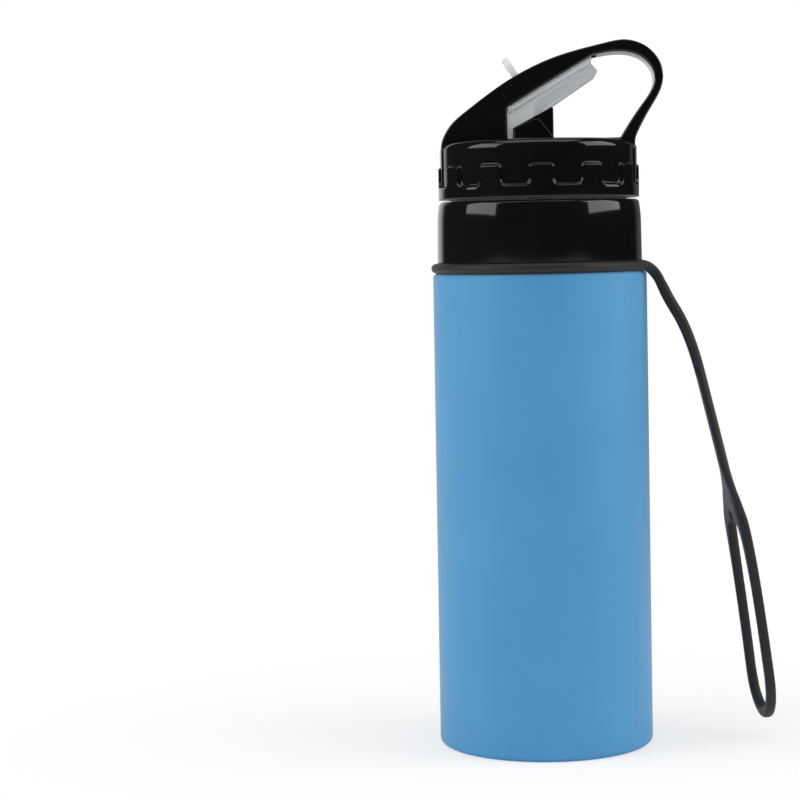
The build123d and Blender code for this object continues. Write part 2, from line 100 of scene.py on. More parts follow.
@dataclass
class Surface:
    """A closed surface: points in millimetres, four-sided faces and flat many-sided caps."""

    points: np.ndarray
    faces: np.ndarray
    caps: list[np.ndarray] = field(default_factory=list)

    def __add__(self, other: "Surface") -> "Surface":
        """Both surfaces in one, unconnected.

        Args:
            other: The second surface.

        Returns:
            A surface whose points are the first's and then the second's.
        """
        step = len(self.points)
        caps = self.caps + [cap + step for cap in other.caps]
        return Surface(
            np.vstack([self.points, other.points]), np.vstack([self.faces, other.faces + step]), caps
        )

    def mesh(self, name: str) -> bpy.types.Mesh:
        """The surface as a Blender mesh in metres.

        Args:
            name: Name of the mesh.

        Returns:
            The mesh, with its seams merged and its faces outwards.
        """
        mesh = bpy.data.meshes.new(name)
        loops = self.faces.tolist() + [cap.tolist() for cap in self.caps]
        mesh.from_pydata((self.points * MM).tolist(), [], loops)
        shape = bmesh.new()
        shape.from_mesh(mesh)
        bmesh.ops.remove_doubles(shape, verts=shape.verts, dist=MERGE)
        bmesh.ops.dissolve_degenerate(shape, dist=SLIVER, edges=shape.edges)
        bmesh.ops.recalc_face_normals(shape, faces=shape.faces)
        shape.to_mesh(mesh)
        shape.free()
        return mesh


def lattice(rows: int, columns: int, wrap_rows: bool, wrap_columns: bool) -> np.ndarray:
    """Four-sided faces of a grid of points.

    Args:
        rows: Points along the first parameter.
        columns: Points along the second parameter.
        wrap_rows: Whether the last row meets the first.
        wrap_columns: Whether the last column meets the first.

    Returns:
        Faces as index rows: point (i, j) has index i times columns plus j, and each face takes
        (i, j), (i, j+1), (i+1, j+1) and (i+1, j), counted round where the grid wraps.
    """
    i, j = np.meshgrid(
        np.arange(rows if wrap_rows else rows - 1),
        np.arange(columns if wrap_columns else columns - 1),
        indexing="ij",
    )
    below, beside = (i + 1) % rows, (j + 1) % columns
    corners = [i * columns + j, i * columns + beside, below * columns + beside, below * columns + j]
    return np.stack(corners, axis=-1).reshape(-1, 4)


def unit(vectors: np.ndarray) -> np.ndarray:
    """Each vector divided by its length."""
    return vectors / np.maximum(np.linalg.norm(vectors, axis=-1, keepdims=True), 1e-12)


def rounded(corners: list[Point], radii: list[float] | float, steps: int = 6) -> np.ndarray:
    """A closed outline whose corners are arcs.

    Args:
        corners: Corners in order.
        radii: One radius for all corners, or one for each.
        steps: Points on each arc.

    Returns:
        The outline's points. An arc's middle lies on the corner's bisector at the radius divided
        by the sine of half the corner's angle, and the arc runs between the two tangent points,
        which lie the radius divided by the tangent of that half angle from the corner.
    """
    corner = np.asarray(corners, dtype=float)
    radius = np.maximum(np.broadcast_to(np.asarray(radii, dtype=float), len(corner)), 1e-4)
    before = unit(np.roll(corner, 1, axis=0) - corner)
    after = unit(np.roll(corner, -1, axis=0) - corner)
    half = 0.5 * np.arccos(np.clip((before * after).sum(axis=1), -1.0, 1.0))
    middle = corner + unit(before + after) * (radius / np.sin(half))[:, None]
    reach = (radius / np.tan(half))[:, None]
    start, end = corner + before * reach - middle, corner + after * reach - middle
    first = np.arctan2(start[:, 1], start[:, 0])
    turn = (np.arctan2(end[:, 1], end[:, 0]) - first + pi) % (2 * pi) - pi
    angle = first[:, None] + turn[:, None] * np.linspace(0.0, 1.0, steps)
    arc = np.stack([np.cos(angle), np.sin(angle)], axis=-1) * radius[:, None, None]
    return (middle[:, None] + arc).reshape(-1, 2)


def spline(knots: list[tuple[float, ...]], count: int) -> np.ndarray:
    """A smooth curve through the knots.

    Args:
        knots: Points that the curve passes, in any number of dimensions.
        count: Points on the result.

    Returns:
        Points of the natural cubic spline: its second derivatives solve one linear system that
        makes the slope continuous at each knot, with no bending at the two ends, and the
        parameter is the distance along the chords.
    """
    knot = np.asarray(knots, dtype=float)
    place = np.concatenate([[0.0], np.cumsum(np.linalg.norm(np.diff(knot, axis=0), axis=1))])
    gap = np.diff(place)
    slope = np.diff(knot, axis=0) / gap[:, None]
    size = len(knot)
    system = np.eye(size)
    inner = np.arange(1, size - 1)
    system[inner, inner - 1] = gap[:-1]
    system[inner, inner] = 2 * (gap[:-1] + gap[1:])
    system[inner, inner + 1] = gap[1:]
    pull = np.zeros_like(knot)
    pull[1:-1] = 6 * np.diff(slope, axis=0)
    bend = np.linalg.solve(system, pull)
    t = np.linspace(0.0, place[-1], count)
    k = np.clip(np.searchsorted(place, t, side="right") - 1, 0, size - 2)
    a, b, h = (place[k + 1] - t)[:, None], (t - place[k])[:, None], gap[k][:, None]
    curve = bend[k] * a**3 / (6 * h) + bend[k + 1] * b**3 / (6 * h)
    return curve + (knot[k] / h - bend[k] * h / 6) * a + (knot[k + 1] / h - bend[k + 1] * h / 6) * b


def arc(middle: Point, radius: float, first: float, last: float, count: int) -> np.ndarray:
    """Points on an arc: the middle plus the radius times cosine and sine of angles in degrees."""
    angle = np.radians(np.linspace(first, last, count))
    return np.stack([middle[0] + radius * np.cos(angle), middle[1] + radius * np.sin(angle)], axis=-1)


def inset(outline: np.ndarray, distance: float) -> np.ndarray:
    """A closed outline moved inwards.

    Args:
        outline: Points in order.
        distance: How far inwards.

    Returns:
        Each point moved along the mean normal of its two sides, by the distance divided by the
        cosine of half the turn between them, so that the sides stay parallel.
    """
    area = np.sum(outline[:, 0] * np.roll(outline[:, 1], -1) - np.roll(outline[:, 0], -1) * outline[:, 1])
    side = unit(np.roll(outline, -1, axis=0) - outline)
    normal = np.stack([-side[:, 1], side[:, 0]], axis=-1) * (1.0 if area > 0 else -1.0)
    mean = unit(normal + np.roll(normal, 1, axis=0))
    grow = np.maximum((mean * normal).sum(axis=1, keepdims=True), 0.5)
    return outline + mean * distance / grow


def bulge_signs(outline: np.ndarray) -> np.ndarray:
    """Tells the outer corners of a closed outline from the inner ones.

    Args:
        outline: Points in order.

    Returns:
        One for each outer corner and minus one for each inner corner, from the sign of the cross
        product of the two sides at the corner times the outline's area.
    """
    area = np.sum(outline[:, 0] * np.roll(outline[:, 1], -1) - np.roll(outline[:, 0], -1) * outline[:, 1])
    into, out = outline - np.roll(outline, 1, axis=0), np.roll(outline, -1, axis=0) - outline
    return np.where((into[:, 0] * out[:, 1] - into[:, 1] * out[:, 0]) * area >= 0, 1.0, -1.0)


def plate(
    outline: np.ndarray | list[Point], low: float, high: float, edge: float,
    radii: list[float] | float | None = None, steps: int = 4, corner_steps: int = 5,
) -> Surface:
    """A plate that stands across Y, with rounded rims.

    Args:
        outline: Closed outline in X and Z.
        low: Lower side in Y.
        high: Upper side in Y.
        edge: Radius of the rims.
        radii: Radius of each corner, or none where the outline is smooth already.
        steps: Rings on each rim.
        corner_steps: Points on each corner.

    Returns:
        Rings of the outline: at angle a on the rim the ring is inset by the edge times one minus
        sine a, and lies the edge times one minus cosine a from the plate's side. An inset ring's
        outer corners have their radius less the inset, and its inner corners their radius plus
        the inset. Two flat caps close the plate, a little inside the rims.
    """
    outline = np.asarray(outline, dtype=float)
    signs = bulge_signs(outline)
    angle = np.linspace(0.0, pi / 2, steps + 1)
    depth = np.concatenate([[edge + CAP_INSET], edge * (1 - np.sin(angle))])
    lift = np.concatenate([[0.0], edge * (1 - np.cos(angle))])
    insets = np.concatenate([depth, depth[::-1]])
    places = np.concatenate([low + lift, high - lift[::-1]])
    if radii is None:
        rings = np.stack([inset(outline, distance) for distance in insets])
    else:
        rings = np.stack([
            rounded(inset(outline, distance), np.asarray(radii) - signs * distance, corner_steps)
            for distance in insets
        ])
    heights = np.broadcast_to(places[:, None], rings.shape[:2])
    points = np.stack([rings[..., 0], heights, rings[..., 1]], axis=-1)
    rows, columns = rings.shape[:2]
    last = (rows - 1) * columns + np.arange(columns)
    faces = lattice(rows, columns, False, True)
    return Surface(points.reshape(-1, 3), faces, [np.arange(columns)[::-1], last])


def look_up(table: tuple[Point, ...], places: np.ndarray) -> np.ndarray:
    """Values of a table of place and value, on straight lines between its rows."""
    return np.interp(places, *np.transpose(table))


def slab(
    outline: np.ndarray | list[Point], half: float, edge: float, radii: list[float] | float | None = None
) -> Surface:
    """A plate as far to each side of the XZ plane as half its width."""
    return plate(outline, -half, half, edge, radii)


def cutter(outline: np.ndarray | list[Point], low: float, high: float) -> Surface:
    """A plate with nearly sharp rims, for cutting."""
    return plate(outline, low, high, CUT_EDGE, steps=1)


def revolve(profile: np.ndarray, columns: int) -> Surface:
    """A closed profile turned once round Z.

    Args:
        profile: Radius and height of each point of the section.
        columns: Points round the axis.

    Returns:
        Points (radius cos a, radius sin a, height) at evenly spaced angles a. A profile that
        starts and ends on the axis is closed by one pole at each end.
    """
    off_axis = np.flatnonzero(profile[:, 0] > POLE)
    poles = len(off_axis) < len(profile)
    if poles:
        profile = profile[off_axis[0] - 1:off_axis[-1] + 2].copy()
        profile[[0, -1], 0] = 0.0
    angle = np.linspace(0.0, 2 * pi, columns, endpoint=False)
    radius, height = profile[:, :1], np.broadcast_to(profile[:, 1:], (len(profile), columns))
    points = np.stack([radius * np.cos(angle), radius * np.sin(angle), height], axis=-1)
    return Surface(points.reshape(-1, 3), lattice(len(profile), columns, not poles, True))


def rod(start: Place, end: Place, radius: float, columns: int = 40) -> Surface:
    """A round rod between two points.

    Args:
        start: Middle of one end.
        end: Middle of the other end.
        radius: Radius of the rod.
        columns: Points round it.

    Returns:
        Two rings across the line, each its middle plus the radius times cosine a along one
        direction across the line and sine a along the other, with a flat cap on each.
    """
    low, high = np.asarray(start, dtype=float), np.asarray(end, dtype=float)
    line = unit(high - low)
    aslant = (0.31, 0.87, 0.38)
    across = unit(np.cross(line, aslant))
    angle = np.linspace(0.0, 2 * pi, columns, endpoint=False)[:, None]
    ring = radius * (np.cos(angle) * across + np.sin(angle) * np.cross(line, across))
    first = np.arange(columns)
    rings = np.vstack([low + ring, high + ring])
    return Surface(rings, lattice(2, columns, False, True), [first[::-1], first + columns])


def tube(path: np.ndarray, flat: np.ndarray, widths: np.ndarray, heights: np.ndarray) -> Surface:
    """A bar with a rounded section along a path, closed at both ends.

    Args:
        path: Points of the middle line.
        flat: Direction of the section's width at each point.
        widths: Width at each point.
        heights: Height at each point.

    Returns:
        Rings whose points are a superellipse of power three in the plane across the path: the
        width times the signed two-thirds power of cosine a, and the height likewise with sine a.
    """
    columns, power = 24, 2 / 3
    line = unit(np.gradient(path, axis=0))
    up = unit(np.cross(line, flat))
    side = np.cross(up, line)
    angle = np.linspace(0.0, 2 * pi, columns, endpoint=False)
    bulge = np.stack([np.cos(angle), np.sin(angle)])
    bulge = np.sign(bulge) * np.abs(bulge) ** power
    rings = (
        path[:, None]
        + 0.5 * widths[:, None, None] * bulge[0][None, :, None] * side[:, None]
        + 0.5 * heights[:, None, None] * bulge[1][None, :, None] * up[:, None]
    )
    count = len(path)
    first = np.arange(columns)
    caps = [first[::-1], first + (count - 1) * columns]
    return Surface(rings.reshape(-1, 3), lattice(count, columns, False, True), caps)


def apply_modifiers(piece: bpy.types.Object) -> None:
    """Puts the result of a piece's modifiers into its mesh and removes them.

    Args:
        piece: The piece.
    """
    graph = bpy.context.evaluated_depsgraph_get()
    result = bpy.data.meshes.new_from_object(piece.evaluated_get(graph))
    piece.modifiers.clear()
    piece.data = result


def shape(
    name: str, base: Surface, steps: list[tuple[Operation, Surface]] | None = None
) -> bpy.types.Object:
    """A Blender object from a surface, after others are joined to it or cut from it in turn.

    Args:
        name: Name of the object.
        base: Surface to start from.
        steps: Operations, each with its own closed surface.

    Returns:
        The object, at the origin, with its place in its mesh.
    """
    piece = bpy.data.objects.new(name, base.mesh(name))
    bpy.context.scene.collection.objects.link(piece)
    for operation, tool in steps or []:
        helper = bpy.data.objects.new("helper", tool.mesh("helper"))
        bpy.context.scene.collection.objects.link(helper)
        change = piece.modifiers.new("change", "BOOLEAN")
        change.operation = operation.value
        change.solver = "MANIFOLD"
        change.object = helper
        apply_modifiers(piece)
        bpy.data.objects.remove(helper)
    return piece


def soften(piece: bpy.types.Object, width: float, angle: float = 35.0, segments: int = 3) -> None:
    """Rounds a piece's sharp edges and evens out the normals of its flat faces.

    Args:
        piece: The piece.
        width: Width of the rounding in millimetres.
        angle: Edges that turn by less, in degrees, stay.
        segments: Faces across the rounding.
    """
    merge = piece.modifiers.new("merge", "WELD")
    merge.merge_threshold = WELD
    bevel = piece.modifiers.new("edges", "BEVEL")
    bevel.width = width * MM
    bevel.segments = segments
    bevel.limit_method = "ANGLE"
    bevel.angle_limit = radians(angle)
    bevel.miter_outer = "MITER_ARC"
    even_out = piece.modifiers.new("flats", "WEIGHTED_NORMAL")
    even_out.keep_sharp = True
    apply_modifiers(piece)


def smooth(piece: bpy.types.Object, angle: float = 40.0) -> None:
    """Smooth shading, except over edges that turn by more than the angle in degrees."""
    piece.data.shade_smooth()
    piece.data.set_sharp_from_angle(angle=radians(angle))


# ---- Finishes ------------------------------------------------------------------------------
class Texture(Enum):
    """Scale of a surface's grain, per metre, and the height of its bumps in metres."""

    POLISHED = (260.0, 0.0000015)
    MOULDED = (900.0, 0.000004)
    SATIN = (2600.0, 0.000008)
    MATTE = (1900.0, 0.000016)


@dataclass(frozen=True)
class Finish:
    """One material: two close colours mixed by soft noise, with uneven gloss and a fine grain."""

    name: str
    slot: str
    dark: Colour
    light: Colour
    roughness: float
    texture: Texture
    spread: float = 0.06
    patch_scale: float = 28.0
    patch_detail: float = 4.0
    patch_span: Point = (0.35, 0.65)
    grain_detail: float = 3.0
    sheen: float = 0.0
    coat: float = 0.0
    specular: float = 0.5
    transmission: float = 0.0
    ior: float = 1.5
    translucent: float = 0.0
    light_depth: float = 0.002

    def material(self) -> bpy.types.Material:
        """Makes the finish as a node material, once.

        Returns:
            The material, shared by every piece of this finish.
        """
        made = bpy.data.materials.get(self.name)
        if made:
            return made
        made = bpy.data.materials.new(self.name)
        made.use_nodes = True
        nodes, links = made.node_tree.nodes, made.node_tree.links
        shader = nodes["Principled BSDF"]
        place = nodes.new("ShaderNodeTexCoord")
        patches = nodes.new("ShaderNodeTexNoise")
        patches.inputs["Scale"].default_value = self.patch_scale
        patches.inputs["Detail"].default_value = self.patch_detail
        links.new(place.outputs["Object"], patches.inputs["Vector"])
        blend = nodes.new("ShaderNodeValToRGB")
        stops = blend.color_ramp.elements
        for stop, position, colour in zip(stops, self.patch_span, (self.dark, self.light)):
            stop.position = position
            stop.color = (*colour, 1.0)
        links.new(patches.outputs["Fac"], blend.inputs["Fac"])
        links.new(blend.outputs["Color"], shader.inputs["Base Color"])
        gloss = nodes.new("ShaderNodeMapRange")
        gloss.inputs["To Min"].default_value = max(self.roughness - self.spread, 0.02)
        gloss.inputs["To Max"].default_value = self.roughness + self.spread
        links.new(patches.outputs["Fac"], gloss.inputs["Value"])
        links.new(gloss.outputs["Result"], shader.inputs["Roughness"])
        scale, height = self.texture.value
        grain = nodes.new("ShaderNodeTexNoise")
        grain.inputs["Scale"].default_value = scale
        grain.inputs["Detail"].default_value = self.grain_detail
        links.new(place.outputs["Object"], grain.inputs["Vector"])
        bump = nodes.new("ShaderNodeBump")
        bump.inputs["Distance"].default_value = height
        links.new(grain.outputs["Fac"], bump.inputs["Height"])
        links.new(bump.outputs["Normal"], shader.inputs["Normal"])
        values = {
            "Specular IOR Level": self.specular, "IOR": self.ior, "Sheen Weight": self.sheen,
            "Coat Weight": self.coat, "Transmission Weight": self.transmission,
        }
        if self.translucent:
            values |= {"Subsurface Weight": self.translucent, "Subsurface Scale": self.light_depth}
        for name, value in values.items():
            shader.inputs[name].default_value = value
        return made

    def dress(self, piece: bpy.types.Object, body: str) -> bpy.types.Object:
        """Gives a new piece this finish and the body it moves with.

        Args:
            piece: The piece.
            body: Name of the body, or nothing for a piece that is left without one.

        Returns:
            The same piece.
        """
        piece.data.materials.clear()
        piece.data.materials.append(self.material())
        if body:
            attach(piece, body)
        LOG.info("%s: %d faces, finish %s", piece.name, len(piece.data.polygons), self.name)
        return piece

    def coat_node(self, node: str) -> None:
        """Gives a node of the frame this finish on every slot.

        Args:
            node: Name of the node.
        """
        for entry in frame["nodes"][node].material_slots:
            entry.material = self.material()
        LOG.info("%s: finish %s", node, self.name)


BLUE_SILICONE = Finish(
    "blue_silicone_satin", "blue_silicone", (0.060, 0.288, 0.545), (0.068, 0.304, 0.570),
    roughness=0.50, texture=Texture.SATIN, sheen=0.16, specular=0.35,
)
GLOSS_BLACK = Finish(
    "gloss_black_moulding", "gloss_black", (0.0035, 0.0036, 0.0042), (0.0050, 0.0051, 0.0058),
    roughness=0.075, texture=Texture.POLISHED, spread=0.015,
)
CLEAR_PLASTIC = Finish(
    "clear_plastic_moulding", "clear_plastic", (0.84, 0.86, 0.88), (0.88, 0.90, 0.92),
    roughness=0.16, texture=Texture.POLISHED, transmission=0.42, ior=1.3, specular=0.6, coat=0.3,
)
FROSTED_RUBBER = Finish(
    "frosted_rubber", "clear_rubber", (0.62, 0.64, 0.65), (0.74, 0.76, 0.76),
    roughness=0.45, texture=Texture.SATIN, transmission=0.25, translucent=0.2,
)
WHITE_PLASTIC = Finish(
    "white_moulding", "white_plastic", (0.66, 0.67, 0.67), (0.74, 0.75, 0.75),
    roughness=0.38, texture=Texture.MOULDED,
)
BLACK_SILICONE = Finish(
    "black_silicone_matte", "black_silicone", (0.010, 0.010, 0.011), (0.015, 0.015, 0.016),
    roughness=0.55, texture=Texture.MATTE, sheen=0.06, specular=0.4,
)


# ---- Bottle --------------------------------------------------------------------------------
@dataclass
class Bottle:
    """Silicone body and the collar that clamps its neck."""

    wall: float = 2.2
    taper: float = 0.25
    base_rounding: float = 2.05
    base_recess: float = 0.6
    foot_width: float = 8.0
    foot_slope: float = 2.0
    foot_rounding: float = 1.0
    floor: float = 3.0
    floor_rounding: float = 1.5
    shoulder: float = 155.7
    shoulder_rounding: float = 1.6
    roof: float = 2.1
    neck_wall: float = 2.0
    neck_root: float = 0.6
    fine_edge: float = 0.3
    collar_wall: float = 1.6
    collar_seat: float = 3.7
    collar_edge: float = 0.2
    collar_top_edge: float = 0.4
    collar_bend: float = 5.0
    collar_rounding: float = 1.4
    collar_taper: float = 0.22
    collar_lean: float = 0.85
    collar_barrel: float = 40.0
    collar_skirt: float = 0.35
    columns: int = 224

    def body_profile(self) -> np.ndarray:
        """Works out the section of the silicone body.

        Returns:
            Radius and height of points from the base's middle outwards, up the side, over the
            shoulder to the neck, and down inside to the floor.
        """
        _, high = box("silicone_body")
        base = high[0]
        top = base - self.taper
        neck = -box("neck_collar")[0][0] - self.collar_wall
        inner = neck - self.neck_wall
        foot = base - self.foot_width
        roof = self.shoulder - self.roof
        corners = [
            (0.0, self.base_recess), (foot - self.foot_slope, self.base_recess), (foot, 0.0),
            (base, 0.0), (top, self.shoulder), (neck, self.shoulder), (neck, high[2]),
            (inner, high[2]), (inner, roof), (top - self.wall, roof),
            (base - self.wall, self.floor), (0.0, self.floor),
        ]
        radii = [
            0.0, self.foot_rounding, self.foot_rounding, self.base_rounding, self.shoulder_rounding,
            self.neck_root, *[self.fine_edge] * 4, self.floor_rounding, 0.0,
        ]
        return rounded(corners, radii, 9)

    def make(self) -> None:
        """Makes the body and the collar."""
        body = shape("bottle_body", revolve(self.body_profile(), self.columns))
        smooth(body, 50)
        BLUE_SILICONE.dress(body, "bottle")
        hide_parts("silicone_body")
        low, high = box("neck_collar")
        outer, neck = high[0], high[0] - self.collar_wall
        inner = neck - self.neck_wall
        step = high[2] - self.collar_seat
        under = low[2] - self.collar_skirt
        corners = [
            (neck, under), (outer, under), (outer - self.collar_taper, high[2] - self.collar_bend),
            (outer - self.collar_lean, high[2]), (inner, high[2]), (inner, step), (neck, step),
        ]
        radii = [
            self.collar_edge, self.fine_edge, self.collar_barrel, self.collar_rounding,
            self.collar_top_edge, self.collar_edge, self.collar_edge,
        ]
        profile = rounded(corners, radii, 12)
        collar = shape("collar", revolve(profile, self.columns))
        smooth(collar, 50)
        GLOSS_BLACK.dress(collar, "bottle")
        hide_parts("neck_collar")
        WHITE_PLASTIC.coat_node("neck_insert")
        FROSTED_RUBBER.coat_node("cap_gasket")


# ---- Cap -----------------------------------------------------------------------------------
@dataclass
class Cap:
    """Screw cap: skirt with its grip relief, deck, spout well, ears and nipple."""

    wall: float = 1.7
    rounding: float = 2.5
    face_drop: float = 1.15
    ring_drop: float = 0.35
    tooth_phase: float = 2.0
    relief_step: float = 1.1
    band_height: float = 4.6
    tooth_height: float = 6.5
    teeth: int = 12
    tooth_angle: float = 14.5
    tooth_rounding: float = 1.3
    tooth_blend: float = 2.2
    relief_slope: float = 0.85
    rib_step: float = 0.45
    rib_width: float = 16.0
    rib_rounding: float = 1.0
    rib_slope: float = 0.8
    lip: float = 0.5
    rim_roll: float = 77.0
    seat_gap: float = 0.5
    disc: float = 25.0
    tube_slope: float = 33.5
    gap_front: float = 4.7
    gap_drop: float = 2.5
    half_housing: float = 7.4
    half_ears: float = 6.6
    half_pads: float = 8.0
    half_gap: float = 4.9
    half_heel_gap: float = 5.9
    housing_radius: float = 13.1
    well_radius: float = 11.6
    boss_radius: float = 3.5
    nipple_radius: float = 2.6
    nipple_bore: float = 1.5
    boss_top: float = -6.4
    boss_root: float = -12.2
    nipple_end: float = -23.9
    seal_depth: float = 2.6
    vent_place: float = -18.0
    vent_radius: float = 1.4
    half_strip: float = 7.6
    strip_drop: float = 0.7
    strip_rise: float = 0.3
    strip_end: float = 3.7
    columns: int = 840

    def __post_init__(self) -> None:
        """Reads the cap's heights and radii from the frame."""
        _, high = box("cap_shell")
        self.relief_radius = high[1]
        self.radius = high[1] - self.relief_step
        self.deck = box("carry_handle")[0][2]
        self.face = self.deck - self.face_drop
        self.under = box("cap_gasket")[1][2]
        self.bottom = box("neck_collar")[1][2] + self.seat_gap
        pivot = joint_place("spout_flip")
        self.pivot = (pivot[0], pivot[2])

    def relief(self, angle: np.ndarray, height: np.ndarray) -> np.ndarray:
        """How far the skirt stands out of its plain radius.

        Args:
            angle: Angle round the axis.
            height: Height of each point.

        Returns:
            The relief. The signed distance to a row of rounded teeth is the length of the part
            outside each tooth's core less the corner radius. It is joined to the distance to the
            band below by a smooth minimum, and a smooth step of it gives the slope of the edge.
            The ribs under the handle's feet are the same with one wide tooth each, whose top lies
            far above the cap.
        """
        pitch = 2 * pi / self.teeth
        around = (angle + pi / 2 - radians(self.tooth_phase) + pitch / 2) % pitch - pitch / 2
        half = 0.5 * radians(self.tooth_angle) * self.relief_radius
        top = self.bottom + self.band_height + self.tooth_height
        tooth = self.rounded_box(around * self.relief_radius, height - top, half, self.tooth_rounding)
        band = height - (self.bottom + self.band_height)
        near = np.maximum(self.tooth_blend - np.abs(tooth - band), 0.0) / self.tooth_blend
        edge = np.minimum(tooth, band) - near**2 * self.tooth_blend / 4
        step = np.clip(-edge / self.relief_slope, 0.0, 1.0)
        grip = self.relief_step * step * step * (3 - 2 * step)
        from_side = (angle + pi / 2) % pi - pi / 2
        above_rib = height - 2 * self.deck
        rib = self.rounded_box(from_side * self.radius, above_rib, self.rib_width / 2, self.rib_rounding)
        step = np.clip(-rib / self.rib_slope, 0.0, 1.0)
        return np.maximum(grip, self.rib_step * step * step * (3 - 2 * step))

    @staticmethod
    def rounded_box(across: np.ndarray, above: np.ndarray, half: float, corner: float) -> np.ndarray:
        """Signed distance to a bar that goes down without end, with rounded upper corners.

        Args:
            across: Distance from the bar's middle line.
            above: Height above the bar's top.
            half: Half the bar's width.
            corner: Radius of its upper corners.

        Returns:
            The length of the part outside the bar's core, or the larger of its two parts where
            both are inside, less the corner's radius.
        """
        x, y = np.abs(across) - (half - corner), above + corner
        outside = np.sqrt(np.maximum(x, 0.0) ** 2 + np.maximum(y, 0.0) ** 2)
        return outside + np.minimum(np.maximum(x, y), 0.0) - corner

    def skirt(self) -> Surface:
        """Works out the skirt and the outer ring of the deck.

        Returns:
            A grid of angle and height. The outer wall's radius is the plain radius plus the
            relief, and its lower edge rolls in along a quarter circle. The upper edge is nearly a
            quarter circle, the ring slopes up from it to the deck, and straight lines close the
            section inside.
        """
        lip, turn, rim = self.lip, self.rounding, self.face - self.ring_drop
        curl = np.linspace(0.0, pi / 2, 5)
        relief_top = self.bottom + self.band_height + self.tooth_height + 0.6
        heights = np.concatenate([
            self.bottom + lip * (1 - np.cos(curl)),
            np.linspace(self.bottom + lip + 0.6, self.bottom + self.band_height - 0.9, 4),
            np.linspace(self.bottom + self.band_height - 0.7, relief_top, 46),
            np.linspace(relief_top + 0.7, rim - turn, 5),
        ])
        roll = np.zeros_like(heights)
        roll[:len(curl)] = -lip * (1 - np.sin(curl))
        over = np.linspace(0.0, radians(self.rim_roll), 9)[1:]
        heights = np.concatenate([heights, rim - turn * (1 - np.sin(over))])
        roll = np.concatenate([roll, -turn * (1 - np.cos(over))])
        angle = np.linspace(0.0, 2 * pi, self.columns, endpoint=False)
        grid_angle, grid_height = np.meshgrid(angle, heights)
        fade = np.clip((rim - heights) / turn, 0.0, 1.0)[:, None]
        radius = self.radius + roll[:, None] + self.relief(grid_angle, grid_height) * fade
        inside = self.radius - self.wall
        more = np.array([
            (self.disc + 1.0, self.face - 0.03), (self.disc, self.face), (self.disc, self.under),
            (inside - 0.3, self.under), (inside, self.under - 0.3), (inside, self.bottom + 0.3),
            (inside + 0.3, self.bottom),
        ])
        radius = np.vstack([radius, np.broadcast_to(more[:, :1], (len(more), self.columns))])
        heights = np.concatenate([heights, more[:, 1]])
        points = np.stack([
            radius * np.cos(angle), radius * np.sin(angle),
            np.broadcast_to(heights[:, None], radius.shape),
        ], axis=-1)
        return Surface(points.reshape(-1, 3), lattice(len(heights), self.columns, True, True))

    def deck_parts(self) -> bpy.types.Object:
        """Joins the ears, their pads and the nipple to the deck's disc and cuts the spout's well.

        Returns:
            The deck as one piece with softened edges.
        """
        x, z = self.pivot
        above = self.deck + 3.0
        section = [(0.0, self.face), (self.disc, self.face), (self.disc, self.under), (0.0, self.under)]
        disc = revolve(np.array(section), 240)
        root = self.under + 0.3
        housing = np.vstack([arc(self.pivot, self.housing_radius, 195.0, 298.2, 40), [(x + 6.2, z - 3.4)]])
        ears = [(x - 7.0, root), (x - 7.0, z + 0.5), (x + 6.2, z + 7.4), (x + 6.2, root)]
        pads = [
            (x - 6.6, root), (x - 6.6, z + 0.3), (x - 0.5, z + 3.3), (x + 1.7, z + 3.3),
            (x + 6.0, self.face + 1.0), (x + 7.8, self.face), (x + 7.8, root),
        ]
        slope = tan(radians(self.tube_slope))
        gap_front = x + self.gap_front
        gap_low = z + self.gap_drop / cos(radians(self.tube_slope)) + self.gap_front * slope
        between = [
            (x - 8.0, z), (x - 8.0, z + 30.0), (x + 9.0, z + 30.0),
            (x + 9.0, gap_low + (9.0 - self.gap_front) * slope), (gap_front, gap_low), (gap_front, z),
        ]
        well_back = (x - self.well_radius, above)
        front = np.vstack([
            arc(self.pivot, self.well_radius, 180.0, 293.9, 40), [(gap_front, above), well_back]
        ])
        back = np.vstack([
            arc(self.pivot, self.well_radius, 180.0, 231.6, 20), [(x - 7.2, above), well_back]
        ])
        boss_top, boss_root = (0, 0, z + self.boss_top), (0, 0, z + self.boss_root)
        nipple_end, below = (0, 0, z + self.nipple_end), (0, 0, z - 30.0)
        open_top, seal_floor = (0, 0, z + self.boss_top + 1.0), (0, 0, z + self.boss_top - self.seal_depth)
        vent_low, vent_high = (self.vent_place, 0, self.under - 2), (self.vent_place, 0, self.deck + 2)
        steps = [
            (Operation.JOIN, slab(housing, self.half_housing, 0.4)),
            (Operation.JOIN, slab(ears, self.half_ears, 0.35, [0.1, 0.6, 0.5, 0.1])),
            (Operation.JOIN, slab(pads, self.half_pads, 0.35, [0.1, 0.4, 0.8, 0.8, 1.2, 0.3, 0.1])),
            (Operation.CUT, cutter(between, -self.half_gap, self.half_gap)),
            (Operation.CUT, cutter(front, -self.half_gap, self.half_gap)),
            (Operation.CUT, cutter(back, -self.half_heel_gap, self.half_heel_gap)),
            (Operation.JOIN, rod(boss_root, boss_top, self.boss_radius)),
            (Operation.JOIN, rod(nipple_end, boss_root, self.nipple_radius)),
            (Operation.CUT, rod(below, open_top, self.nipple_bore)),
            (Operation.CUT, rod(seal_floor, open_top, self.nipple_radius)),
            (Operation.CUT, rod(vent_low, vent_high, self.vent_radius)),
        ]
        piece = shape("cap_deck", disc, steps)
        soften(piece, 0.3)
        return piece

